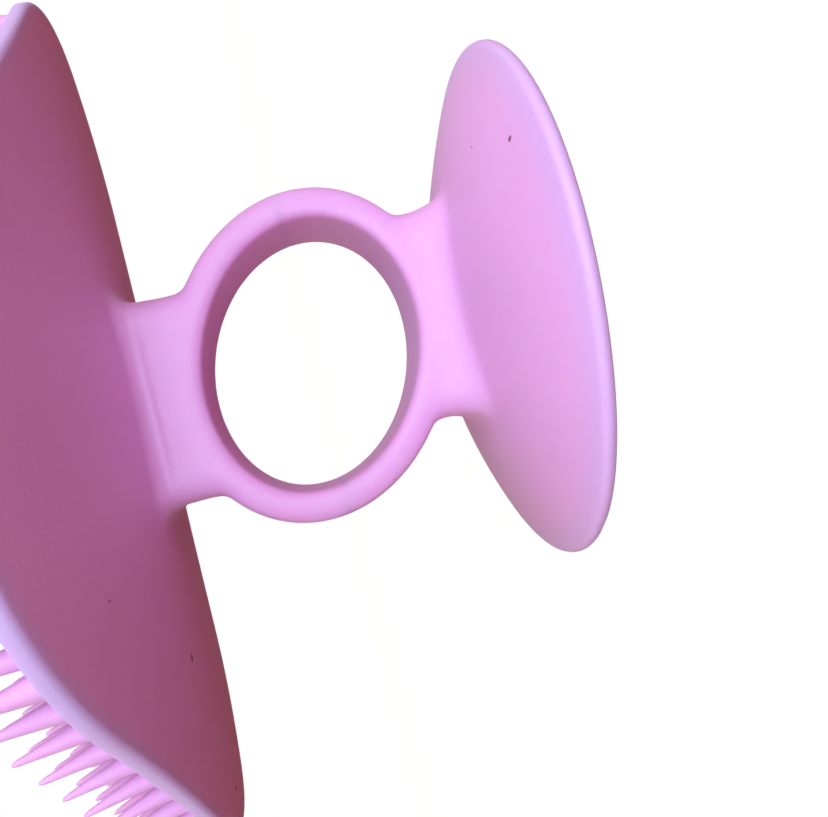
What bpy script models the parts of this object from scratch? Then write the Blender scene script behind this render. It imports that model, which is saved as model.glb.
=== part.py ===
"""Silicone face brush: a leaf-shaped bristle pad and a suction cup, joined by a finger ring.

The real brush is one soft moulding. It is split here into its working regions, each a solid
of its own, with a small gap where one region runs into the next: the suction cup that it
stands on, the short neck above it, the finger ring, the neck under the pad, the pad with its
rounded rim, and the beds of bristles that lie in the pad.

+Z points from the suction cup to the bristles. The finger goes through the ring along Y.
The shorter end of the pad points along +X. The origin is on the ground, under the middle of
the pad. Lengths are in metres.
"""

from math import acos, cos, hypot, pi, sin, sqrt

import bmesh
import bpy

MM = 0.001
DEGREE = pi / 180

# Gaps and cutters
gap = 0.3 * MM                      # between one region of the moulding and the next
overrun = 2.0 * MM                  # how far a cutter runs past what it cuts
round_sides = 56                    # sides of the round and oval solids

# Suction cup
cup_radius = 24.2 * MM
cup_lip_height = 1.3 * MM           # thickness of the rounded edge
cup_land_width = 1.5 * MM           # flat ring that seals against a wall
cup_hollow_depth = 3.4 * MM
cup_back_rise = 4.5 * MM            # from the edge up to the middle of the back
cup_back_power = 2.2                # 1 is a cone, 2 a parabola
cup_hollow_power = 2.0

# Finger ring: an oval hole and an oval wall round it, leaning towards the pad's shorter end
ring_above_cup = 0.9 * MM           # from the top of the cup's back to the ring's underside
ring_hole_half_length = 12.3 * MM
ring_hole_half_width = 9.5 * MM
ring_wall = 2.9 * MM
ring_depth = 10.6 * MM              # along the finger
ring_edge_round = 0.8 * MM
ring_lean = 20.5 * DEGREE

# Necks: a waist that spreads into the cup's back and into the pad's back
cup_neck_half_width = 9.6 * MM
pad_neck_half_width = 9.2 * MM
neck_shift = 1.2 * MM               # the lean puts each neck to one side of the middle
neck_corner_power = 5.0             # 2 is an ellipse, larger is boxier
foot_corner_power = 2.6
cup_foot_sink = 1.0 * MM            # how far the spread reaches below the cup's top
cup_foot_length = 4.4 * MM          # height of the spread on the cup
cup_foot_spread_x = 4.5 * MM
cup_foot_spread_y = 4.5 * MM
pad_foot_spread_x = 3.0 * MM
pad_foot_spread_y = 4.5 * MM
pad_foot_length = 4.2 * MM          # height of the spread under the pad
neck_shoulder_spread = 1.2 * MM     # widening where the neck runs into the ring
cup_neck_length = 2.2 * MM          # from the top of the cup's back up to the ring's region
pad_neck_length = 4.2 * MM          # from the pad's back down to the ring's region
neck_sides = 32
shoulder_shares = (0.6, 1.0)        # sections between the waist and the end in the ring

# Pad: a leaf-shaped dish, bent about X so that its front and back edges rise
pad_above_ring = 3.36 * MM          # from the ring's top to the pad's back, on its middle line
pad_short_reach = 36.2 * MM         # from the stem to the end on the +X side
pad_long_reach = 40.2 * MM          # from the stem to the other end
pad_half_width = 29.75 * MM
pad_broad_shift = 2.3 * MM          # widest place of the pad, behind the stem
pad_tip_radius = 9.3 * MM
pad_bend_radius = 92.5 * MM
pad_floor = 0.5 * MM                # thickness under the bristle beds
pad_rim_height = 1.4 * MM
pad_rim_width = 1.2 * MM
tip_steps = 5                       # facets of a quarter of the outline: tip, flank, side
flank_steps = 4
side_steps = 8
pad_ring_shares = (0.12, 0.38, 0.64, 0.84)         # inner rings of the dish's faces
rim_arc_steps = 4

# Bristles: square beds of tapered strands
usual_pitch = 2.7 * MM              # fitted to a whole number of rows in each bed
strand_root_radius = 1.0 * MM
strand_tip_radius = 0.22 * MM
strand_height = 5.2 * MM
strand_sink = 0.15 * MM             # least depth of a root in its bed
strip_steps = 3                     # facets of the bend across one bed
strand_edge_margin = 1.1 * MM       # least distance from a strand's middle to its bed's edge

# Colour of the silicone, linear
silicone_colour = (0.80, 0.36, 0.66, 1.0)
silicone_roughness = 0.42

bed_names = (                       # from the front edge of the pad to its back edge
    "bristle_bed_front",
    "bristle_bed_front_inner",
    "bristle_bed_middle",
    "bristle_bed_back_inner",
    "bristle_bed_back",
)


def pad_rise(y):
    """How far the bend lifts the pad at a distance y from its middle line."""
    return y * y / (2 * pad_bend_radius)


def cup_back(radius):
    """Height of the cup's back at a distance from its axis."""
    return cup_lip_height + cup_back_rise * (1 - (radius / cup_radius) ** cup_back_power)


# The stem stands where the pad reaches equally far to both ends
stem_x = (pad_long_reach - pad_short_reach) / 2

# Heights, from the ground up
ring_half_height = hypot(
    (ring_hole_half_length + ring_wall) * sin(ring_lean),
    (ring_hole_half_width + ring_wall) * cos(ring_lean),
)
cup_top = cup_back(0)
cup_foot_height = cup_top - cup_foot_sink
cup_waist_height = cup_foot_height + cup_foot_length
cup_neck_top = cup_top + cup_neck_length
ring_height = cup_top + ring_above_cup + ring_half_height
pad_back_height = ring_height + ring_half_height + pad_above_ring
pad_neck_bottom = pad_back_height - pad_neck_length

# Bristle beds, which share out the pad's width inside its rim
bed_count = len(bed_names)
bed_depth = 2 * (pad_half_width - pad_rim_width - gap) / bed_count
rows_in_bed = max(1, round(bed_depth / usual_pitch))
strand_pitch = bed_depth / rows_in_bed
half_step = 0.5                     # strands stand in the middle of their squares


def clear_scene():
    for thing in list(bpy.data.objects):
        bpy.data.objects.remove(thing)


def make_collection(name):
    collection = bpy.data.collections.new(name)
    bpy.context.scene.collection.children.link(collection)
    return collection


clear_scene()
parts = make_collection("silicone_face_brush")
cutters = make_collection("cutters")


def make_material(name):
    material = bpy.data.materials.new(name)
    material.use_nodes = True
    shader = material.node_tree.nodes["Principled BSDF"]
    shader.inputs["Base Color"].default_value = silicone_colour
    shader.inputs["Roughness"].default_value = silicone_roughness
    shader.inputs["Metallic"].default_value = 0.0
    material.diffuse_color = silicone_colour
    return material


def add_object(name, mesh, collection=parts):
    thing = bpy.data.objects.new(name, mesh)
    collection.objects.link(thing)
    if collection is cutters:
        thing.hide_render = True
        thing.display_type = "WIRE"
    else:
        mesh.materials.clear()
        mesh.materials.append(make_material(name + "_silicone"))
    return thing


def mesh_from(bm, name):
    bm.normal_update()
    bmesh.ops.recalc_face_normals(bm, faces=bm.faces)
    mesh = bpy.data.meshes.new(name)
    bm.to_mesh(mesh)
    bm.free()
    return mesh


def boolean(target, tool, operation):
    modifier = target.modifiers.new(tool.name, "BOOLEAN")
    modifier.operation = operation
    modifier.object = tool


def final_mesh(thing):
    """The object's mesh with its modifiers worked in."""
    bpy.context.view_layer.update()
    graph = bpy.context.evaluated_depsgraph_get()
    return bpy.data.meshes.new_from_object(thing.evaluated_get(graph))


def shade(thing):
    thing.data.shade_smooth()
    thing.data.set_sharp_from_angle(angle=40 * DEGREE)


def loft(name, loops):
    """A closed solid through loops of points, all with as many points as each other."""
    bm = bmesh.new()
    rings = [[bm.verts.new(point) for point in loop] for loop in loops]
    count = len(loops[0])
    for low, high in zip(rings, rings[1:]):
        for i in range(count):
            j = (i + 1) % count
            bm.faces.new((low[i], low[j], high[j], high[i]))
    bm.faces.new(rings[0])
    bm.faces.new(rings[-1])
    return mesh_from(bm, name)


def box(name, low, high):
    bm = bmesh.new()
    bmesh.ops.create_cube(bm, size=1.0)
    for vertex in bm.verts:
        for axis in range(3):
            middle = (low[axis] + high[axis]) / 2
            vertex.co[axis] = middle + vertex.co[axis] * (high[axis] - low[axis])
    return add_object(name, mesh_from(bm, name), cutters)


def turned(name, profile, collection):
    """A solid turned about the stem from points (radius, height), outer side downwards."""
    mesh = bpy.data.meshes.new(name)
    edges = [(i, i + 1) for i in range(len(profile) - 1)]
    mesh.from_pydata([(radius, 0, height) for radius, height in profile], edges, [])
    thing = add_object(name, mesh, collection)
    thing.location.x = stem_x
    screw = thing.modifiers.new("Turn", "SCREW")
    screw.steps = screw.render_steps = round_sides
    screw.use_merge_vertices = True
    screw.merge_threshold = gap / 10
    return thing


# The suction cup


def cup_back_points(outer_radius, steps=7):
    radii = [outer_radius * i / steps for i in range(steps + 1)]
    return [(radius, cup_back(radius)) for radius in radii]


def cup_lip_points(steps=3):
    """The rounded edge, from the cup's back round to the flat land."""
    half = cup_lip_height / 2
    angles = [pi / 2 - pi * i / (steps + 1) for i in range(steps + 2)]
    return [(cup_radius - half + half * cos(a), half + half * sin(a)) for a in angles]


def cup_hollow_points(steps=6):
    mouth = cup_radius - cup_lip_height / 2 - cup_land_width
    radii = [mouth * (1 - i / steps) for i in range(steps + 1)]
    return [(r, cup_hollow_depth * (1 - (r / mouth) ** cup_hollow_power)) for r in radii]


def make_suction_cup():
    lip = cup_lip_points()
    profile = cup_back_points(lip[0][0])[:-1] + lip + cup_hollow_points()
    shade(turned("suction_cup", profile, parts))


def cup_back_cutter():
    """Everything below the cup's back, with the gap added."""
    outer = cup_radius + overrun
    back = [(radius, height + gap) for radius, height in cup_back_points(cup_radius)]
    profile = back + [(outer, cup_lip_height + gap), (outer, -overrun), (0, -overrun)]
    return turned("cup_back_cutter", profile, cutters)


# The leaf-shaped dish of the pad and everything that follows its outline


def arc(middle_x, radius, start, end, steps):
    angles = [start + (end - start) * i / steps for i in range(steps + 1)]
    return [(middle_x + radius * cos(a), radius * sin(a)) for a in angles]


def flank(start, end):
    """The points between the end of one arc and the start of the next."""
    shares = [i / flank_steps for i in range(1, flank_steps)]
    return [tuple(a + (b - a) * share for a, b in zip(start, end)) for share in shares]


def leaf_outline(inset):
    """Points round the pad from its short end: arcs at both ends and sides, and straight
    flanks between them, all moved inwards by the inset. The stem is at zero."""
    side, tip = pad_half_width - inset, pad_tip_radius - inset
    short_x = pad_short_reach - pad_tip_radius
    long_x = pad_tip_radius - pad_long_reach
    narrowing = pad_half_width - pad_tip_radius
    short_turn = acos(narrowing / (short_x + pad_broad_shift))
    long_turn = pi - acos(narrowing / (-pad_broad_shift - long_x))
    short_tip = arc(short_x, tip, 0, short_turn, tip_steps)
    broad_side = arc(-pad_broad_shift, side, short_turn, long_turn, side_steps)
    long_tip = arc(long_x, tip, long_turn, pi, tip_steps)
    half = short_tip + flank(short_tip[-1], broad_side[0]) + broad_side
    half += flank(broad_side[-1], long_tip[0]) + long_tip
    return half + [(x, -y) for x, y in half[-2:0:-1]]


def leaf_loop(share, inset, height):
    """A share of the outline after an inset, at a height above the pad's bent back."""
    points = [(share * x, share * y) for x, y in leaf_outline(inset)]
    return [(stem_x + x, y, pad_back_height + pad_rise(y) + height) for x, y in points]


def leaf_face(inset, height, outwards):
    """The loops of one face of the dish, from the middle to its edge or back."""
    loops = [leaf_loop(share, inset, height) for share in pad_ring_shares]
    return loops if outwards else loops[::-1]


def leaf_plate(name, inset, low, high):
    edges = [leaf_loop(1, inset, low), leaf_loop(1, inset, high)]
    return loft(name, leaf_face(inset, low, True) + edges + leaf_face(inset, high, False))


def make_brush_pad():
    half = pad_rim_height / 2
    angles = [-pi / 2 + pi * i / rim_arc_steps for i in range(rim_arc_steps + 1)]
    rim = [leaf_loop(1, half * (1 - cos(a)), half * (1 + sin(a))) for a in angles]
    wall = [leaf_loop(1, pad_rim_width, h) for h in (pad_rim_height, pad_floor)]
    back = leaf_face(half, 0, True)
    floor = leaf_face(pad_rim_width, pad_floor, False)
    shade(add_object("brush_pad", loft("brush_pad", back + rim + wall + floor)))


# The stem: the ring and both necks as one blank, which is then cut into its regions


def oval_bar(name, grow, half_depth, collection):
    """A leaning oval bar along Y, as wide as the finger hole and a wall round it."""
    bm = bmesh.new()
    bmesh.ops.create_cone(
        bm, cap_ends=True, segments=round_sides, radius1=1, radius2=1, depth=2 * half_depth
    )
    for vertex in bm.verts:
        along = vertex.co.x * (ring_hole_half_length + grow)
        across = vertex.co.y * (ring_hole_half_width + grow)
        x = along * cos(ring_lean) + across * sin(ring_lean)
        z = across * cos(ring_lean) - along * sin(ring_lean)
        vertex.co = (stem_x + x, vertex.co.z, ring_height + z)
    return add_object(name, mesh_from(bm, name), collection)


def section(middle_x, height, half_width, half_depth, power):
    """A rounded rectangle round the stem at one height."""
    loop = []
    for i in range(neck_sides):
        angle = 2 * pi * i / neck_sides
        c, s = cos(angle), sin(angle)
        radius = (abs(c) ** power + abs(s) ** power) ** (-1 / power)
        loop.append((middle_x + half_width * radius * c, half_depth * radius * s, height))
    return loop


def neck_loops(middle_x, foot, waist, end, half_width, spread_x, spread_y, steps=6):
    """A neck from its foot on a disc, in at the waist and out to its end in the ring."""
    loops = []
    half_depth = ring_depth / 2
    for i in range(steps + 1):
        t = i / steps
        spread = 1 - sqrt(1 - (1 - t) ** 2)
        power = foot_corner_power + (neck_corner_power - foot_corner_power) * t
        loops.append(section(
            middle_x,
            foot + (waist - foot) * t,
            half_width + spread_x * spread,
            half_depth + spread_y * spread,
            power,
        ))
    for share in shoulder_shares:
        loops.append(section(
            middle_x,
            waist + (end - waist) * share,
            half_width + neck_shoulder_spread * share * share,
            half_depth,
            neck_corner_power,
        ))
    return loops


def make_stem_blank():
    blank = oval_bar("stem_blank", ring_wall, ring_depth / 2, cutters)
    bevel = blank.modifiers.new("Round", "BEVEL")
    bevel.width = ring_edge_round
    bevel.segments = 2
    bevel.limit_method = "ANGLE"
    bevel.angle_limit = 60 * DEGREE
    cup_neck = neck_loops(
        stem_x + neck_shift, cup_foot_height, cup_waist_height,
        ring_height - ring_hole_half_width, cup_neck_half_width, cup_foot_spread_x, cup_foot_spread_y,
    )
    pad_neck = neck_loops(
        stem_x - neck_shift, pad_back_height, pad_back_height - pad_foot_length,
        ring_height + ring_hole_half_width, pad_neck_half_width, pad_foot_spread_x, pad_foot_spread_y,
    )
    for name, loops in (("cup_neck_blank", cup_neck), ("pad_neck_blank", pad_neck)):
        boolean(blank, add_object(name, loft(name, loops), cutters), "UNION")
    hole = oval_bar("finger_hole", 0, ring_depth / 2 + overrun, cutters)
    boolean(blank, hole, "DIFFERENCE")
    return final_mesh(blank)


def stem_region(name, blank, low, high):
    """The part of the blank between two heights."""
    region = add_object(name, blank.copy())
    reach = 2 * ring_hole_half_length
    slab = box(name + "_slab", (stem_x - reach, -reach, low), (stem_x + reach, reach, high))
    boolean(region, slab, "INTERSECT")
    return region


def make_stem():
    blank = make_stem_blank()
    ring_low, ring_high = cup_neck_top + gap, pad_neck_bottom - gap
    cup_neck = stem_region("cup_neck", blank, -overrun, cup_neck_top)
    boolean(cup_neck, cup_back_cutter(), "DIFFERENCE")
    ring = stem_region("finger_ring", blank, ring_low, ring_high)
    pad_neck = stem_region("pad_neck", blank, pad_neck_bottom, pad_back_height + overrun)
    pad_cut = leaf_plate("pad_back_cutter", 0, -gap, pad_rim_height + overrun)
    boolean(pad_neck, add_object("pad_back_cutter", pad_cut, cutters), "DIFFERENCE")
    for region in (cup_neck, ring, pad_neck):
        shade(region)


# The bristle beds


def bed_strip(name, front, back):
    """A strip of the beds' bent slab, from one end of the pad to the other."""
    ys = [front + (back - front) * i / strip_steps for i in range(strip_steps + 1)]
    loops = []
    for x in (-2 * pad_long_reach, 2 * pad_long_reach):
        under = [(x, y, pad_back_height + pad_rise(y) + pad_floor + gap) for y in ys]
        over = [(x, y, pad_back_height + pad_rise(y) + pad_rim_height) for y in ys[::-1]]
        loops.append(under + over)
    return loft(name, loops)


def bed_outline():
    """An upright block with the outline of the beds, just inside the rim."""
    outline = leaf_outline(pad_rim_width + gap)
    heights = (pad_back_height - overrun, pad_back_height + pad_half_width)
    loops = [[(stem_x + x, y, z) for x, y in outline] for z in heights]
    return add_object("bed_outline", loft("bed_outline", loops), cutters)


def edge_distance(x, y, outline):
    """Distance of a place inside an outline from the nearest of its straight pieces."""
    distances = []
    for (x1, y1), (x2, y2) in zip(outline, outline[1:] + outline[:1]):
        across = (x2 - x1) * (y - y1) - (y2 - y1) * (x - x1)
        distances.append(across / hypot(x2 - x1, y2 - y1))
    return min(distances)


def strand_places(y):
    """The place of each strand in the row at y that stands clear of the bed's edge."""
    outline = leaf_outline(pad_rim_width + gap)
    half_count = int(pad_long_reach / strand_pitch)
    for column in range(-half_count, half_count):
        x = (column + half_step) * strand_pitch
        if edge_distance(x, y, outline) > strand_edge_margin:
            yield x, y


def strands(name, bed_front):
    """All the strands of one bed, as tapered four-sided spikes, and how many there are."""
    bm = bmesh.new()
    rows = [bed_front + (row + half_step) * strand_pitch for row in range(rows_in_bed)]
    places = [place for y in rows for place in strand_places(y)]
    for x, y in places:
        sink = strand_sink + strand_root_radius * abs(y) / pad_bend_radius
        length = strand_height + sink
        made = bmesh.ops.create_cone(
            bm, cap_ends=True, segments=4, radius1=strand_root_radius,
            radius2=strand_tip_radius, depth=length,
        )
        base = pad_back_height + pad_rise(y) + pad_rim_height
        middle = base - sink + length / 2
        bmesh.ops.translate(bm, verts=made["verts"], vec=(stem_x + x, y, middle))
    return mesh_from(bm, name), len(places)


def make_bristle_beds():
    outline = bed_outline()
    total = 0
    for k, name in enumerate(bed_names):
        front = (k - bed_count / 2) * bed_depth
        back = front + bed_depth
        field, count = strands(name + "_strands", front)
        front += gap / 2 if k else -overrun
        back += -gap / 2 if k < bed_count - 1 else overrun
        bed = add_object(name, bed_strip(name, front, back))
        boolean(bed, outline, "INTERSECT")
        boolean(bed, add_object(name + "_strands", field, cutters), "UNION")
        total += count
    print("strands in all:", total)


make_suction_cup()
make_stem()
make_brush_pad()
make_bristle_beds()
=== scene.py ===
# %% [markdown]
# # Silicone face brush
#
# The brush is one moulding in soft silicone rubber: a suction cup to park it on a wall, a ring
# for the finger, and a leaf-shaped pad of bristles on the far side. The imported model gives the
# true sizes and the bodies that move, so it is loaded first, and nothing in it is changed.

# %% Load the frame
from math import cos, hypot, pi, sin

import bmesh
import bpy
import numpy as np
from mathutils import Matrix, Vector


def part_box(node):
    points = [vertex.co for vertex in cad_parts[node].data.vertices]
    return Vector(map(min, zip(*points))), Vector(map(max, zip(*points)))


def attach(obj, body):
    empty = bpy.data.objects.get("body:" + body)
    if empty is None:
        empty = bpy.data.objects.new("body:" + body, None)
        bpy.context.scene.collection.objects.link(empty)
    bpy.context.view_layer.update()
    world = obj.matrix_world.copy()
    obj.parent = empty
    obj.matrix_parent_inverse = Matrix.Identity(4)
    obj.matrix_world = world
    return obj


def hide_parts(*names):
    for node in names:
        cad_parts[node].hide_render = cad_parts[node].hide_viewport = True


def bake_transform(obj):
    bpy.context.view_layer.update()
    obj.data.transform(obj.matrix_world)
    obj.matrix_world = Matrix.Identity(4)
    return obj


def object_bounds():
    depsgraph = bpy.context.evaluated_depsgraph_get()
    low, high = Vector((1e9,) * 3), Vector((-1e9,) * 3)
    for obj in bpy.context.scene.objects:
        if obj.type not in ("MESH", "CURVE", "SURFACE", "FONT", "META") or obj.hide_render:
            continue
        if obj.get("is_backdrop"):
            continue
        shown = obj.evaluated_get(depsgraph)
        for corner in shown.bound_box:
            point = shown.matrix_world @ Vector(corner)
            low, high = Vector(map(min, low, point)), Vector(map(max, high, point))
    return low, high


MM = 0.001
DEGREE = pi / 180

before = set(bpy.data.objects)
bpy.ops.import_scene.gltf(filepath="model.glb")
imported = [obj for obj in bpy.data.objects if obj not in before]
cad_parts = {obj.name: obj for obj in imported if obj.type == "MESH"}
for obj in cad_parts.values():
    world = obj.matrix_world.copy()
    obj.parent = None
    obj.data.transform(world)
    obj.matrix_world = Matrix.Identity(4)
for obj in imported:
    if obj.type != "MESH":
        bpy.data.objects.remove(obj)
cad_box = [list(corner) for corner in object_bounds()]

# %% [markdown]
# The sizes come from the frame. The cup's box gives the stem's place and the cup's radius. The
# pad's box gives the outline, and how far the front and back edges rise gives the bend.

# %% Measure the frame
cup_low, cup_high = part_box("suction_cup")
pad_low, pad_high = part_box("brush_pad")

stem_x = (cup_low.x + cup_high.x) / 2
cup_radius = (cup_high.x - cup_low.x) / 2
cup_top = cup_high.z
pad_back = pad_low.z
pad_short_reach = pad_high.x - stem_x
pad_long_reach = stem_x - pad_low.x
pad_half_width = pad_high.y
plate_thickness = 1.4 * MM
pad_rise = pad_high.z - pad_back - plate_thickness
bend_radius = pad_half_width**2 / (2 * pad_rise)
print(f"stem at {stem_x / MM:.2f} mm, bend radius {bend_radius / MM:.0f} mm")

# %% [markdown]
# ## Camera
#
# The camera comes before the shapes.
# Its place was found by fitting the outlines of the hole, the cup and the pad: it is close to
# the brush, almost level with the finger hole, and turned on its side, so that up in the
# picture is towards the short end of the pad.

# %% Camera
camera_from_stem = Vector((-6.63, -72.78, 21.09)) * MM
view_direction = Vector((-0.00385, 0.99079, -0.13535))
picture_up = Vector((0.97162, -0.02831, -0.23484))
sensor_width = 36.0
focal_length = 33.04


def aim_camera(location, direction, up):
    """Turn a camera to a direction, with up as the top of its picture."""
    back = -direction.normalized()
    right = up.cross(back).normalized()
    axes = Matrix((right, back.cross(right), back)).transposed()
    return Matrix.Translation(location) @ axes.to_4x4()


bpy.ops.object.camera_add()
camera = bpy.context.object
camera.name = "camera"
camera.data.sensor_width = sensor_width
camera.data.lens = focal_length
camera.data.clip_start = 1 * MM
camera.matrix_world = aim_camera(
    Vector((stem_x, 0, 0)) + camera_from_stem, view_direction, picture_up
)
bpy.context.scene.camera = camera

# %% [markdown]
# ## Small helpers
#
# An operator acts on all that is selected. Each step therefore starts by selecting only the
# pieces that it means.

# %% Helpers for operators


def only(*things):
    """Select these objects and nothing else; the last one is active."""
    bpy.ops.object.select_all(action="DESELECT")
    for thing in things:
        thing.select_set(True)
    bpy.context.view_layer.objects.active = things[-1]


def named(name):
    thing = bpy.context.object
    thing.name = name
    thing.data.name = name
    return thing


def settle(thing):
    """Work an object's place, turn and scale into its mesh."""
    only(thing)
    bpy.ops.object.transform_apply(location=True, rotation=True, scale=True)


def apply_modifier(thing, kind, **settings):
    only(thing)
    bpy.ops.object.modifier_add(type=kind)
    modifier = thing.modifiers[-1]
    for name, value in settings.items():
        setattr(modifier, name, value)
    bpy.ops.object.modifier_apply(modifier=modifier.name)


def pick_faces(thing, wanted):
    """Go to edit mode with the faces selected that a test of their middle and normal names."""
    only(thing)
    for part in (*thing.data.vertices, *thing.data.edges, *thing.data.polygons):
        part.select = False
    for face in thing.data.polygons:
        face.select = wanted(face.center, face.normal)
    bpy.ops.object.mode_set(mode="EDIT")
    bpy.ops.mesh.select_mode(type="FACE")


def leave_edit():
    bpy.ops.object.mode_set(mode="OBJECT")


def coordinates(thing):
    flat = np.empty(3 * len(thing.data.vertices))
    thing.data.vertices.foreach_get("co", flat)
    return flat.reshape(-1, 3)


def move_vertices(thing, places):
    thing.data.vertices.foreach_set("co", places.ravel())
    thing.data.update()


# %% [markdown]
# ## The moulding
#
# On the real brush the cup, the necks, the ring and the pad run into each other with soft
# fillets, because the mould was cut that way. Each region is modelled roughly as a body of its
# own first. Then they are melted into one skin with a voxel remesh, and smoothing turns the
# creases into fillets. A bevel can't round a crease between such unlike bodies.
#
# The suction cup is a turned shape: its profile is spun about the stem. The back is a shallow
# dome that runs into the thin rounded lip without a kink, and underneath there is a flat land
# round a hollow.

# %% Suction cup
lip_height = 1.3 * MM
land_width = 1.5 * MM
hollow_depth = 3.4 * MM
back_power = 2.2
lip_turn = 67 * DEGREE              # where the lip's round has the slope of the dome
back_points = 30
lip_points = 12
spin_steps = 160
merge_distance = 0.01 * MM

lip_half = lip_height / 2
lip_middle = cup_radius - lip_half
back_reach = lip_middle + lip_half * cos(lip_turn)
back_low = lip_half + lip_half * sin(lip_turn)


def back_height(radius):
    """Height of the dome at a distance from the stem."""
    return back_low + (cup_top - back_low) * (1 - (radius / back_reach) ** back_power)


def cup_profile():
    """Points (radius, height) from the top of the dome round the lip to the hollow."""
    shares = np.linspace(0, 1, back_points)
    back = [(back_reach * s, back_height(back_reach * s)) for s in shares]
    turns = np.linspace(lip_turn, -pi / 2, lip_points)[1:]
    lip = [(lip_middle + lip_half * cos(a), lip_half + lip_half * sin(a)) for a in turns]
    mouth = lip_middle - land_width
    hollow = [(mouth * s, hollow_depth * (1 - s * s)) for s in shares[::-1]]
    return back + lip + hollow


def spin_cup():
    points = cup_profile()
    mesh = bpy.data.meshes.new("cup")
    corners = [(stem_x + radius, 0, height) for radius, height in points]
    mesh.from_pydata(corners, [(i, i + 1) for i in range(len(points) - 1)], [])
    cup = bpy.data.objects.new("cup", mesh)
    bpy.context.scene.collection.objects.link(cup)
    only(cup)
    bpy.ops.object.mode_set(mode="EDIT")
    bpy.ops.mesh.select_all(action="SELECT")
    bpy.ops.mesh.spin(
        steps=spin_steps, angle=2 * pi, center=(stem_x, 0, 0), axis=(0, 0, 1)
    )
    bpy.ops.mesh.select_all(action="SELECT")
    bpy.ops.mesh.remove_doubles(threshold=merge_distance)
    bpy.ops.mesh.normals_make_consistent(inside=False)
    leave_edit()
    return cup


cup = spin_cup()
print("cup:", len(cup.data.vertices), "vertices")

# %% [markdown]
# A soft cup is never quite round once it has been used. In the photograph its upper end looks
# pointed and its far side flat. A few waves round the rim, each under 2 mm, come close to that
# outline. Only the radius changes, so the rim still stands flat on the wall.

# %% Wave the cup's outline
rim_waves = (                       # waves round the rim, cosine and sine in millimetres
    (1, -0.57, 0.08),
    (2, -1.59, -0.84),
    (3, -0.25, -1.01),
)


def rim_radius(turn):
    """Radius of the waved rim at an angle round the stem."""
    return cup_radius + MM * sum(
        a * np.cos(n * turn) + b * np.sin(n * turn) for n, a, b in rim_waves
    )


def wave_outline(thing):
    places = coordinates(thing)
    turn = np.arctan2(places[:, 1], places[:, 0] - stem_x)
    grow = rim_radius(turn) / cup_radius
    places[:, 0] = stem_x + (places[:, 0] - stem_x) * grow
    places[:, 1] *= grow
    move_vertices(thing, places)
    wider = (grow - 1) * cup_radius / MM
    print(f"the rim's radius changes by {wider.min():.1f} to {wider.max():.1f} mm")


wave_outline(cup)

# %% [markdown]
# The finger ring is an oval bar with an oval hole. Both lean by the same angle towards the
# short end of the pad, as the photograph shows. The bar is a cylinder that is scaled to the
# oval, and its edges are rounded with a bevel. The hole is cut later, when the necks are there.

# %% Finger ring
hole_half_length = 12.3 * MM
hole_half_width = 9.5 * MM
ring_wall = 2.9 * MM
ring_depth = 10.6 * MM
ring_lean = 20.5 * DEGREE
ring_edge = 1.0 * MM
ring_above_cup = 0.9 * MM
ring_half_height = hypot(
    (hole_half_length + ring_wall) * sin(ring_lean),
    (hole_half_width + ring_wall) * cos(ring_lean),
)
ring_height = cup_top + ring_above_cup + ring_half_height
overrun = 2 * MM
bevel_from = 60 * DEGREE            # only edges sharper than this are bevelled


def oval_bar(name, grow, depth):
    """A leaning oval bar along Y, as large as the hole and a wall round it."""
    bpy.ops.mesh.primitive_cylinder_add(
        vertices=spin_steps, radius=1, depth=depth,
        location=(stem_x, 0, ring_height), rotation=(pi / 2, ring_lean, 0),
    )
    bar = named(name)
    bar.scale = (hole_half_length + grow, hole_half_width + grow, 1)
    settle(bar)
    return bar


ring = oval_bar("ring", ring_wall, ring_depth)
apply_modifier(
    ring, "BEVEL", width=ring_edge, segments=5, limit_method="ANGLE",
    angle_limit=bevel_from,
)

# %% [markdown]
# Each neck starts as a block with rounded corners. The face at its waist is extruded in small
# steps, and each step is a little wider than the last, along a fillet's curve. That gives the
# foot that spreads over the cup's dome, and over the back of the pad. The foot on the cup is
# broad and soft. The one under the pad is small, and on the faces it starts later than at the
# two ends.

# %% Necks
neck_shift = 1.2 * MM
neck_corner = 2.0 * MM
cup_neck_half_width = 9.6 * MM
pad_neck_half_width = 9.2 * MM
cup_foot_sink = 0.3 * MM
cup_foot_length = 5.8 * MM
pad_foot_length = 2.2 * MM
foot_sunk = 1.2 * MM                # how far a foot's end goes on into the cup or the pad
foot_steps = 14

# A fillet is its reach, the share of the foot's height at which it starts, and its power.
cup_fillet_x = (5.2 * MM, 0.15, 2.0)
cup_fillet_y = (6.5 * MM, 0.0, 2.0)
pad_fillet_x = (2.0 * MM, 0.0, 2.0)
pad_fillet_y = (0.9 * MM, 0.43, 1.5)


def fillet_share(height, start, power):
    """How far a fillet has spread at a height from 0, its waist, to 1, its foot."""
    left = min(1.0, (1 - height) / (1 - start))
    return (1 - left ** (1 / power)) ** power


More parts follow.
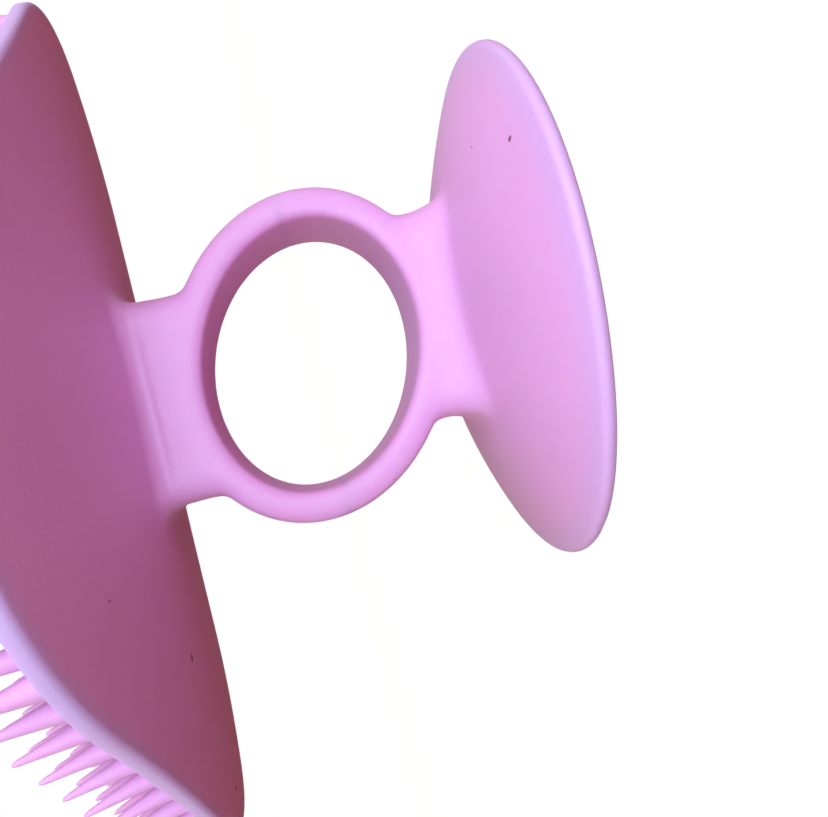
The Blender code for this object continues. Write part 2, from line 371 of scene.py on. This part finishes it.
def spread_neck(name, middle_x, half_width, waist, foot, fillet_x, fillet_y):
    """A block from the finger hole to the waist, and a foot that spreads from there."""
    side = 1 if foot > waist else -1
    inner = ring_height + side * hole_half_width
    bpy.ops.mesh.primitive_cube_add(
        size=1, location=(middle_x, 0, (inner + waist) / 2),
        scale=(2 * half_width, ring_depth, abs(waist - inner)),
    )
    neck = named(name)
    settle(neck)
    only(neck)
    bpy.ops.object.mode_set(mode="EDIT")
    bpy.ops.mesh.select_mode(type="EDGE")
    bpy.ops.mesh.select_all(action="DESELECT")
    leave_edit()
    for edge in neck.data.edges:
        low, high = (neck.data.vertices[i].co for i in edge.vertices)
        edge.select = abs(low.z - high.z) > overrun / 2
    bpy.ops.object.mode_set(mode="EDIT")
    bpy.ops.mesh.bevel(offset=neck_corner, segments=6, affect="EDGES")
    leave_edit()
    pick_faces(neck, lambda middle, normal: side * normal.z > 0.9)
    size = (half_width, ring_depth / 2)
    before = 0.0
    for step in range(1, foot_steps + 1):
        share = 1 - (1 - step / foot_steps) ** 2
        spread_x, spread_y = (
            reach * fillet_share(share, start, power)
            for reach, start, power in (fillet_x, fillet_y)
        )
        wider = (half_width + spread_x, ring_depth / 2 + spread_y)
        height = waist + (foot - waist) * share
        bpy.ops.mesh.extrude_region_move(
            TRANSFORM_OT_translate={"value": (0, 0, (foot - waist) * (share - before))}
        )
        bpy.ops.transform.resize(
            value=(wider[0] / size[0], wider[1] / size[1], 1),
            center_override=(middle_x, 0, height),
        )
        size, before = wider, share
    bpy.ops.mesh.extrude_region_move(
        TRANSFORM_OT_translate={"value": (0, 0, side * foot_sunk)}
    )
    leave_edit()
    return neck


cup_foot = cup_top - cup_foot_sink
cup_waist = cup_foot + cup_foot_length
cup_neck = spread_neck(
    "cup_neck_rough", stem_x + neck_shift, cup_neck_half_width,
    cup_waist, cup_foot, cup_fillet_x, cup_fillet_y,
)
pad_neck = spread_neck(
    "pad_neck_rough", stem_x - neck_shift, pad_neck_half_width,
    pad_back - pad_foot_length, pad_back, pad_fillet_x, pad_fillet_y,
)

# %% Let the cup neck's foot follow the dome


def follow_dome(neck):
    """Lower the foot by as much as the dome has fallen there, so that its edge stays sunk."""
    places = coordinates(neck)
    away = np.hypot(places[:, 0] - stem_x, places[:, 1])
    share = np.clip((cup_waist - places[:, 2]) / cup_foot_length, 0, 1)
    places[:, 2] -= (cup_top - back_height(away)) * share
    move_vertices(neck, places)


follow_dome(cup_neck)

# %% [markdown]
# The hole goes through the ring and through the inner ends of both necks. One oval bar, a
# little longer than the ring is deep, is the cutter for all three.

# %% Cut the finger hole
hole = oval_bar("hole", 0, ring_depth + 2 * overrun)
for piece in (ring, cup_neck, pad_neck):
    apply_modifier(piece, "BOOLEAN", operation="DIFFERENCE", object=hole, solver="EXACT")
bpy.data.objects.remove(hole)

# %% [markdown]
# The pad is a plate with a leaf-shaped outline: a broad middle, two tapering ends and straight
# flanks. Three discs in a row give it, because their convex hull is just that shape. A small
# bevel rounds its corners and leaves a narrow flat rim, as on the real one. The plate stays
# flat for now, because a flat plate remeshes without ripples.

# %% Pad
tip_radius = 9.3 * MM
broad_shift = 2.3 * MM
rim_corner = 0.3 * MM
disc_sides = 192
flat_within = 0.5 * DEGREE          # faces this close to one plane become one
discs = (                           # place along X from the stem, and radius
    (pad_short_reach - tip_radius, tip_radius),
    (-broad_shift, pad_half_width),
    (tip_radius - pad_long_reach, tip_radius),
)


def leaf_plate():
    made = []
    for from_stem, radius in discs:
        bpy.ops.mesh.primitive_cylinder_add(
            vertices=disc_sides, radius=radius, depth=plate_thickness,
            location=(stem_x + from_stem, 0, pad_back + plate_thickness / 2),
        )
        made.append(named("disc"))
    only(*made)
    bpy.ops.object.join()
    plate = named("plate")
    settle(plate)
    bpy.ops.object.mode_set(mode="EDIT")
    bpy.ops.mesh.select_all(action="SELECT")
    bpy.ops.mesh.convex_hull()
    bpy.ops.mesh.select_all(action="SELECT")
    bpy.ops.mesh.dissolve_limited(angle_limit=flat_within)
    bpy.ops.mesh.normals_make_consistent(inside=False)
    leave_edit()
    return plate


plate = leaf_plate()
apply_modifier(
    plate, "BEVEL", width=rim_corner, segments=4, limit_method="ANGLE",
    angle_limit=bevel_from,
)
print("plate:", [round(side / MM, 1) for side in plate.dimensions])

# %% [markdown]
# The rough bodies are joined and remeshed with small voxels, which leaves one closed skin. The
# Smooth modifier then softens it: a little all over, and much more where the ring and the cup
# run into the necks. The crease along the foot under the pad stays crisp, as the photograph
# shows, so the smoothing fades out there. A vertex group holds how much each point gets.

# %% Melt the bodies into one skin
voxel = 0.32 * MM
crease_zone = (17 * MM, 11 * MM)
zone_fade = 4 * MM
crisp_below_pad = 2.2 * MM
crisp_fade = 1.5 * MM
passes_everywhere = 3
passes_in_creases = 36
least_weight = 0.01                 # a point that weighs less isn't in the group

only(cup, cup_neck, pad_neck, plate, ring)
bpy.ops.object.join()
skin = named("skin")
skin.data.remesh_voxel_size = voxel
bpy.ops.object.voxel_remesh()
print("skin:", len(skin.data.polygons), "faces")


def smooth_step(values):
    share = np.clip(values, 0, 1)
    return share * share * (3 - 2 * share)


def crease_weights(places):
    """1 near the stem, 0 out on the cup and from the foot under the pad upwards."""
    away_x = np.abs(places[:, 0] - stem_x) - crease_zone[0]
    away_y = np.abs(places[:, 1]) - crease_zone[1]
    crisp = smooth_step((places[:, 2] - pad_back + crisp_below_pad + crisp_fade) / crisp_fade)
    return (1 - smooth_step(np.maximum(away_x, away_y) / zone_fade)) * (1 - crisp)


creases = skin.vertex_groups.new(name="creases")
for index, weight in enumerate(crease_weights(coordinates(skin))):
    if weight > least_weight:
        creases.add([index], float(weight), "REPLACE")
apply_modifier(skin, "SMOOTH", factor=0.5, iterations=passes_everywhere)
apply_modifier(
    skin, "SMOOTH", factor=0.5, iterations=passes_in_creases, vertex_group="creases"
)

# %% [markdown]
# Three more moves finish the pad. Its back swells a little round the neck, which shows as a
# soft light zone in the photograph. A fine raised line is drawn on both faces of the neck,
# where its foot begins. Then the pad is bent about X, like a shallow gutter, so that its front
# and back edges rise: every point is lifted by a parabola in Y. The lift fades in along the
# neck, so the foot follows the pad.

# %% Swell and bend the pad
swell_height = 1.0 * MM
swell_reach = (13 * MM, 11 * MM)
swell_fade = 6 * MM
bend_fade = 4.2 * MM
line_below_pad = 1.9 * MM
line_width = 0.28 * MM
line_rise = 0.18 * MM
line_reach = 4.5 * MM               # half its length; it fades out over as much again


def swell(places):
    """Push the pad's back and the neck's foot down, most at the stem, but not the front."""
    away_x = (places[:, 0] - stem_x + neck_shift) / swell_reach[0]
    away_y = places[:, 1] / swell_reach[1]
    above = smooth_step((pad_back + plate_thickness - places[:, 2]) / plate_thickness)
    below = smooth_step((places[:, 2] - pad_back + swell_fade) / swell_fade)
    places[:, 2] -= swell_height * np.exp(-(away_x**2) - away_y**2) * above * below
    return places


def bend(places):
    share = smooth_step((places[:, 2] - pad_back + bend_fade) / bend_fade)
    places[:, 2] += share * places[:, 1] ** 2 / (2 * bend_radius)
    return places


def raise_line(places):
    """A fine raised line on both faces of the neck, where its foot begins."""
    side = np.sign(places[:, 1])
    on_face = smooth_step((np.abs(places[:, 1]) - ring_depth / 2 + line_width) / line_width)
    near = np.exp(-(((places[:, 2] - pad_back + line_below_pad) / line_width) ** 2))
    away = np.abs(places[:, 0] - stem_x + neck_shift)
    along = 1 - smooth_step((away - line_reach) / line_reach)
    places[:, 1] += side * line_rise * on_face * near * along
    return places


move_vertices(skin, bend(raise_line(swell(coordinates(skin)))))
only(skin)
bpy.ops.object.shade_smooth()

# %% [markdown]
# The necks bend on the real brush, and a skin can only follow one joint. So the moulding is cut
# at the middle of the ring, where its section is smallest and both sides move together. Each
# half keeps the shading of the whole: the vertex normals are stored before the cut and given
# back to the halves, so the seam doesn't show.

# %% Split the skin at the middle of the ring
cap_tolerance = 0.001 * MM          # how near a face is to the cut's height to be its cap


def split_skin(whole, height):
    """A lower and an upper piece, each closed, with the normals of the whole."""
    only(whole)
    bpy.ops.object.mode_set(mode="EDIT")
    bpy.ops.mesh.select_all(action="SELECT")
    bpy.ops.mesh.bisect(plane_co=(0, 0, height), plane_no=(0, 0, 1))
    leave_edit()
    normals = np.empty(3 * len(whole.data.vertices))
    whole.data.vertex_normals.foreach_get("vector", normals)
    store = whole.data.attributes.new("moulded_normal", "FLOAT_VECTOR", "POINT")
    store.data.foreach_set("vector", normals)
    halves = []
    for name, side in (("cup_and_ring", 1), ("ring_and_pad", -1)):
        half = bpy.data.objects.new(name, whole.data.copy())
        half.data.name = name
        bpy.context.scene.collection.objects.link(half)
        close_half(half, side, height)
        halves.append(half)
    bpy.data.objects.remove(whole)
    return halves


def close_half(half, side, height):
    """Drop what is beyond the height, close the cut and give the normals back."""
    bm = bmesh.new()
    bm.from_mesh(half.data)
    beyond = [f for f in bm.faces if side * (f.calc_center_median().z - height) > 0]
    bmesh.ops.delete(bm, geom=beyond, context="FACES")
    rims = [edge for edge in bm.edges if edge.is_boundary]
    caps = bmesh.ops.holes_fill(bm, edges=rims, sides=0)["faces"]
    bmesh.ops.recalc_face_normals(bm, faces=bm.faces)
    print("caps:", len(caps), "open edges left:", sum(e.is_boundary for e in bm.edges))
    bm.to_mesh(half.data)
    bm.free()
    store = half.data.attributes["moulded_normal"]
    flat = np.empty(3 * len(half.data.vertices))
    store.data.foreach_get("vector", flat)
    kept = flat.reshape(-1, 3)
    loops = []
    for face in half.data.polygons:
        is_cap = abs(face.center.z - height) < cap_tolerance and abs(face.normal.z) > 0.99
        for vertex in face.vertices:
            loops.append(tuple(face.normal) if is_cap else tuple(kept[vertex]))
    half.data.attributes.remove(store)
    half.data.normals_split_custom_set(loops)


lower, upper = split_skin(skin, ring_height)
print("halves:", len(lower.data.polygons), len(upper.data.polygons), "faces")

# %% [markdown]
# Light passes through the silicone where it is thin, and the lamps give the edges a cool sheen,
# so the cup's lip and the rim of the pad look paler and cooler than the rest. That light is
# painted
# into the colour: an attribute on the mesh says how near a point is to the outline, and the
# material mixes a pale, cool painted sheen in there.

# %% Mark where the painted edge sheen goes
cup_edge_fade = 3.6 * MM
pad_edge_fade = 1.8 * MM
cup_edge_most = 0.6                 # the painted sheen shows less on the cup
pad_edge_most = 1.0
outline_turns = 120                 # directions in which the leaf's outline is measured


def leaf_inset(x, y):
    """How far places, seen from the stem, are inside the pad's outline."""
    inset = np.inf
    for turn in np.linspace(0, 2 * pi, outline_turns, endpoint=False):
        reach = max(from_stem * cos(turn) + radius for from_stem, radius in discs)
        inset = np.minimum(inset, reach - x * cos(turn) - y * sin(turn))
    return inset


def rim_inset(x, y):
    """How far places, seen from the stem, are inside the cup's outline."""
    return rim_radius(np.arctan2(y, x)) - np.hypot(x, y)


def mark_painted_edge_sheen(thing, inset, fade, most):
    """Store how much painted edge sheen a point gets: the most on the outline, less inwards, and
    0 where the fade ends.
    """
    places = coordinates(thing)
    share = most * smooth_step(1 - inset(places[:, 0] - stem_x, places[:, 1]) / fade)
    store = thing.data.attributes.new("painted_edge_sheen", "FLOAT", "POINT")
    store.data.foreach_set("value", share)
    print(thing.name, "has", np.count_nonzero(share), "points near its edge")


mark_painted_edge_sheen(lower, rim_inset, cup_edge_fade, cup_edge_most)
mark_painted_edge_sheen(upper, leaf_inset, pad_edge_fade, pad_edge_most)

# %% [markdown]
# ## Bristles
#
# The bristles are moulded in one with the pad: soft spikes 6 mm long, 2 mm across at the root,
# that get thin fast and end in a blunt tip. One is modelled by extruding a small circle and
# shrinking it at each step. It is then copied over a square grid that stays clear of the rim.
# They splay a little towards the two ends of the pad, as the photograph shows, and each leans
# by a degree or so of its own, as soft bristles do.

# %% One bristle
bristle_height = 6.0 * MM
root_radius = 1.05 * MM
blunt_radius = 0.2 * MM
blunt_end = 0.55                    # the very end, as a share of the blunt tip's radius
root_sunk = 0.6 * MM
taper_power = 1.15
bristle_sides = 8
height_shares = (0.0, 0.3, 0.65, 0.94, 1.0)


def bristle_radius(share):
    """Concave taper from the root to the tip, which is rounded off at its end."""
    radius = blunt_radius + (root_radius - blunt_radius) * (1 - share) ** taper_power
    return radius * (blunt_end if share == 1 else 1)


def model_bristle():
    bpy.ops.mesh.primitive_circle_add(
        vertices=bristle_sides, radius=root_radius, fill_type="NGON",
        location=(0, 0, -root_sunk),
    )
    bristle = named("bristle")
    settle(bristle)
    bpy.ops.object.mode_set(mode="EDIT")
    bpy.ops.mesh.select_mode(type="FACE")
    bpy.ops.mesh.select_all(action="SELECT")
    height, radius = -root_sunk, root_radius
    for share in height_shares:
        step = share * bristle_height - height
        shrink = bristle_radius(share) / radius
        bpy.ops.mesh.extrude_region_move(TRANSFORM_OT_translate={"value": (0, 0, step)})
        bpy.ops.transform.resize(value=(shrink, shrink, 1))
        height, radius = share * bristle_height, bristle_radius(share)
    bpy.ops.mesh.select_all(action="SELECT")
    bpy.ops.mesh.normals_make_consistent(inside=False)
    leave_edit()
    return bristle


bristle = model_bristle()
print("one bristle:", len(bristle.data.polygons), "faces")

# %% Copy it over the pad
bristle_pitch = 2.2 * MM
bristle_inset = 1.0 * MM
lean_spread = 1.0 * DEGREE
lean_seed = 7
splay = 0.0092 / MM                 # lean along X, in radians for each metre from the stem
grid_half = 20                      # rows each way, more than the pad can hold
shade_flat_from = 50 * DEGREE


def bristle_places():
    steps = np.arange(-grid_half, grid_half + 1) * bristle_pitch
    return [(x, y) for y in steps for x in steps if leaf_inset(x, y) >= bristle_inset]


def copy_bristles(model, places):
    """One mesh with a bristle at each place, on the bent face of the pad."""
    shape = coordinates(model)
    faces = [tuple(face.vertices) for face in model.data.polygons]
    random = np.random.default_rng(lean_seed)
    points, all_faces = [], []
    for x, y in places:
        lean_x, lean_y = random.normal(0, lean_spread, 2)
        copy = shape.copy()
        copy[:, 0] += x + stem_x + shape[:, 2] * (lean_x + splay * x)
        copy[:, 1] += y + shape[:, 2] * lean_y
        copy[:, 2] += pad_back + plate_thickness + y * y / (2 * bend_radius)
        offset = len(points) * len(shape)
        all_faces += [tuple(offset + corner for corner in face) for face in faces]
        points.append(copy)
    mesh = bpy.data.meshes.new("bristles")
    mesh.from_pydata(np.concatenate(points).tolist(), [], all_faces)
    field = bpy.data.objects.new("bristles", mesh)
    bpy.context.scene.collection.objects.link(field)
    return field


places = bristle_places()
bristles = copy_bristles(bristle, places)
bpy.data.objects.remove(bristle)
only(bristles)
bpy.ops.object.shade_smooth_by_angle(angle=shade_flat_from)
print("bristles:", len(places))

# %% [markdown]
# ## Material
#
# The brush is moulded in one shot from pigmented silicone rubber. Light goes a millimetre or
# two into it, so shadows are warm and edges are soft. Its surface is satin, neither glossy nor
# dull, with the fine unevenness of a blasted mould, and a few dark specks of dust cling to it.
# Each pattern's scale is one over a real length: broad clouds in the pigment, slow waves of the
# surface, the grain of the mould and the ragged edge of a speck.

# %% Material helpers


def linear(code):
    """An sRGB hex colour as linear red, green, blue and alpha."""
    shares = [int(code[i : i + 2], 16) / 255 for i in (1, 3, 5)]
    return (*((s / 12.92 if s < 0.04045 else ((s + 0.055) / 1.055) ** 2.4) for s in shares), 1)


def add_node(tree, kind, links=(), **settings):
    """A node with its settings and its inputs, which are values or other nodes' outputs."""
    node = tree.nodes.new(kind)
    for name, value in settings.items():
        setattr(node, name, value)
    for name, value in dict(links).items():
        if isinstance(value, bpy.types.NodeSocket):
            tree.links.new(value, node.inputs[name])
        else:
            node.inputs[name].default_value = value
    return node


def blend_colours(tree, share, first, second):
    """The colour between two others; 0, 6 and 7 are the colour inputs of a Mix node."""
    mix = add_node(tree, "ShaderNodeMix", data_type="RGBA")
    for socket, value in ((0, share), (6, first), (7, second)):
        if isinstance(value, bpy.types.NodeSocket):
            tree.links.new(value, mix.inputs[socket])
        else:
            mix.inputs[socket].default_value = value
    return mix.outputs[2]


def new_material(name):
    material = bpy.data.materials.new(name)
    material.use_nodes = True
    material.node_tree.nodes.clear()
    return material, material.node_tree


# %% Moulded silicone
pink = linear("#E8AFE7")
pink_deep = linear("#E3A7E2")
# painted edge sheen: a pale, cool colour that stands in for light on the thin edges
painted_sheen_colour = linear("#CFB6EC")
sheen_tint = linear("#DCE2FF")
speck_dark = linear("#7A4468")
cloud_length = 9 * MM
wave_length = 5 * MM
grain_length = 0.5 * MM
speck_grain = 0.3 * MM
wave_depth = 0.4 * MM
grain_depth = 0.06 * MM
dust_ragged = 0.5 * MM
speck_core = 0.6                    # the share of a speck's radius that is fully dark
dust_specks = (                     # place and radius in millimetres
    (12.54, -19.55, 2.3, 0.24), (14.39, -13.68, 3.46, 0.15), (-21.2, -4.8, 35.7, 0.40),
    (-35.0, -0.3, 35.6, 0.28), (-12.7, -17.9, 37.2, 0.16), (-9.0, 14.0, 4.0, 0.25),
    (20.0, 12.0, 36.3, 0.30),
)


def dust_share(tree, place):
    """1 on a speck of dust and 0 elsewhere; noise makes the specks ragged."""
    ragged = add_node(
        tree, "ShaderNodeTexNoise", {"Vector": place, "Scale": 1 / speck_grain, "Detail": 1.0}
    ).outputs["Color"]
    moved = add_node(
        tree, "ShaderNodeVectorMath",
        {0: ragged, 1: (dust_ragged,) * 3, 2: place}, operation="MULTIPLY_ADD",
    ).outputs["Vector"]
    share = 0.0
    for *middle, radius in dust_specks:
        centre = Vector(middle) * MM + Vector((dust_ragged,) * 3) / 2
        away = add_node(
            tree, "ShaderNodeVectorMath", {0: moved, 1: centre}, operation="DISTANCE"
        ).outputs["Value"]
        near = add_node(
            tree, "ShaderNodeMapRange",
            {"Value": away, "From Min": speck_core * radius * MM, "From Max": radius * MM,
             "To Min": 1.0, "To Max": 0.0},
        ).outputs["Result"]
        share = add_node(
            tree, "ShaderNodeMath", {0: near, 1: share}, operation="MAXIMUM"
        ).outputs[0]
    return share


def moulded_silicone(name):
    material, tree = new_material(name)
    place = add_node(tree, "ShaderNodeTexCoord").outputs["Object"]
    cloud = add_node(
        tree, "ShaderNodeTexNoise",
        {"Vector": place, "Scale": 1 / cloud_length, "Detail": 3.0, "Roughness": 0.5},
    ).outputs["Fac"]
    thick = blend_colours(tree, cloud, pink, pink_deep)
    # Painted edge sheen: near the outline the colour turns paler and cooler, standing in for
    # light through thin edges and the lamps' sheen.
    sheen_share = add_node(tree, "ShaderNodeAttribute", attribute_name="painted_edge_sheen").outputs["Fac"]
    body = blend_colours(tree, sheen_share, thick, painted_sheen_colour)
    specked = blend_colours(tree, dust_share(tree, place), body, speck_dark)
    grain = add_node(
        tree, "ShaderNodeTexNoise",
        {"Vector": place, "Scale": 1 / grain_length, "Detail": 2.0, "Roughness": 0.6},
    ).outputs["Fac"]
    waves = add_node(
        tree, "ShaderNodeTexNoise",
        {"Vector": place, "Scale": 1 / wave_length, "Detail": 1.0, "Roughness": 0.5},
    ).outputs["Fac"]
    coarse = add_node(
        tree, "ShaderNodeBump", {"Height": waves, "Strength": 0.12, "Distance": wave_depth}
    ).outputs["Normal"]
    fine = add_node(
        tree, "ShaderNodeBump",
        {"Height": grain, "Strength": 0.45, "Distance": grain_depth, "Normal": coarse},
    ).outputs["Normal"]
    shader = add_node(
        tree, "ShaderNodeBsdfPrincipled",
        {"Base Color": specked, "Normal": fine, "Roughness": 0.48, "IOR": 1.41,
         "Specular IOR Level": 0.8, "Subsurface Weight": 0.35,
         "Subsurface Radius": (1.0, 0.35, 0.45), "Subsurface Scale": 1.6 * MM,
         "Sheen Weight": 0.2, "Sheen Roughness": 0.45, "Sheen Tint": sheen_tint},
    )
    add_node(tree, "ShaderNodeOutputMaterial", {"Surface": shader.outputs["BSDF"]})
    return material


silicone = moulded_silicone("moulded silicone rubber")
for piece in (lower, upper, bristles):
    piece.data.materials.clear()
    piece.data.materials.append(silicone)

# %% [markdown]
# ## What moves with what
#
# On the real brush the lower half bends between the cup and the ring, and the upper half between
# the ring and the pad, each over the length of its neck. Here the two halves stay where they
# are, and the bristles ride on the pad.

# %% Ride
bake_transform(lower)
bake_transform(upper)
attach(bristles, "pad")

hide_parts("suction_cup", "cup_neck", "finger_ring")
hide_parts("finger_ring", "pad_neck", "brush_pad")
beds = [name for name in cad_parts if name.startswith("bristle_bed")]
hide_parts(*beds)

# %% [markdown]
# ## Floor and light
#
# The photograph is a cut-out on white, so the floor and the background are white to the
# camera. To the brush itself the floor is a warm, darker table, as the reddish shade on the
# back of the pad shows. Its white would also wash out the pad's back in grazing reflections, so
# glossy rays see the table too. Three large soft lamps, a little bluish, stand on the camera's
# side. They reach the cup and the front of the ring, while the back of the pad faces away and
# stays in shade. The room is warm, and brighter at the two ends of the brush than elsewhere.

# %% Floor
floor_size = 3.0
floor_drop = 0.02 * MM
floor_glow = 0.88                   # the rest is plain white card, which takes the shadow
floor_strength = 1.08               # makes up for what the card takes off the white
table_brown = linear("#A06C60")
pure_white = linear("#FFFFFF")


def white_floor():
    material, tree = new_material("white card")
    path = add_node(tree, "ShaderNodeLightPath")
    seen = add_node(
        tree, "ShaderNodeMath",
        {0: path.outputs["Is Camera Ray"], 1: path.outputs["Is Transmission Ray"]},
        operation="MAXIMUM",
    ).outputs[0]
    share = add_node(
        tree, "ShaderNodeMath", {0: seen, 1: floor_glow}, operation="MULTIPLY"
    ).outputs[0]
    paper = blend_colours(tree, seen, table_brown, pure_white)
    card = add_node(tree, "ShaderNodeBsdfDiffuse", {"Color": paper})
    glow = add_node(
        tree, "ShaderNodeEmission", {"Color": pure_white, "Strength": floor_strength}
    )
    mix = add_node(
        tree, "ShaderNodeMixShader",
        {0: share, 1: card.outputs["BSDF"], 2: glow.outputs["Emission"]},
    )
    add_node(tree, "ShaderNodeOutputMaterial", {"Surface": mix.outputs["Shader"]})
    return material


bpy.ops.mesh.primitive_plane_add(size=floor_size, location=(0, 0, -floor_drop))
floor = named("floor")
floor.data.materials.append(white_floor())
floor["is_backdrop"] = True

# %% Lights and world
middle = Vector((stem_x, 0, ring_height))


def soft_lamp(name, direction, distance, size, power, colour):
    """A square lamp that looks at the middle of the ring from a direction, power in watts."""
    bpy.ops.object.light_add(type="AREA")
    lamp = named(name)
    lamp.data.size = size
    lamp.data.energy = power
    lamp.data.color = linear(colour)[:3]
    out = Vector(direction).normalized()
    lamp.location = middle + out * distance
    lamp.rotation_euler = out.to_track_quat("Z", "Y").to_euler()
    return lamp


lamp_distance = 0.5
lamp_size = 0.3
soft_lamp("key", (0.5, -0.85, 0.2), lamp_distance, lamp_size, 0.8, "#F4F6FF")
soft_lamp("front", (0, -1, 0.1), lamp_distance, lamp_size, 2.3, "#CDE6FF")
soft_lamp("above", (0.25, -0.5, 0.83), lamp_distance, lamp_size, 1.1, "#E4ECFF")


def white_world(colour, plain, towards):
    """A room that glows plainly from all sides, and more from each side that is named."""
    world = bpy.data.worlds.new("white room")
    bpy.context.scene.world = world
    world.use_nodes = True
    tree = world.node_tree
    tree.nodes.clear()
    path = add_node(tree, "ShaderNodeLightPath")
    way = add_node(tree, "ShaderNodeTexCoord").outputs["Generated"]
    strength = plain
    for side, more in towards:
        facing = add_node(
            tree, "ShaderNodeVectorMath", {0: way, 1: side}, operation="DOT_PRODUCT"
        ).outputs["Value"]
        ahead = add_node(
            tree, "ShaderNodeMath", {0: facing, 1: 0.0}, operation="MAXIMUM"
        ).outputs[0]
        strength = add_node(
            tree, "ShaderNodeMath", {0: ahead, 1: more, 2: strength},
            operation="MULTIPLY_ADD",
        ).outputs[0]
    room = add_node(tree, "ShaderNodeBackground", {"Color": colour, "Strength": strength})
    white = add_node(tree, "ShaderNodeBackground", {"Color": pure_white, "Strength": 1.0})
    mix = add_node(
        tree, "ShaderNodeMixShader",
        {0: path.outputs["Is Camera Ray"], 1: room.outputs["Background"],
         2: white.outputs["Background"]},
    )
    add_node(tree, "ShaderNodeOutputWorld", {"Surface": mix.outputs["Shader"]})


room_warm = linear("#FFE0CC")
room_plain = 0.17
room_ends = (((-1, 0, 0), 0.9), ((1, 0, 0), 0.7))       # a side, and how much more it glows
white_world(room_warm, room_plain, room_ends)
bpy.context.scene.view_settings.view_transform = "Standard"

# %% Sizes of the frame and of the visual model
visual_box = [list(corner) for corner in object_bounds()]
for label, (low, high) in (("CAD", cad_box), ("visual", visual_box)):
    print(label, [round((b - a) / MM, 2) for a, b in zip(low, high)], "mm")
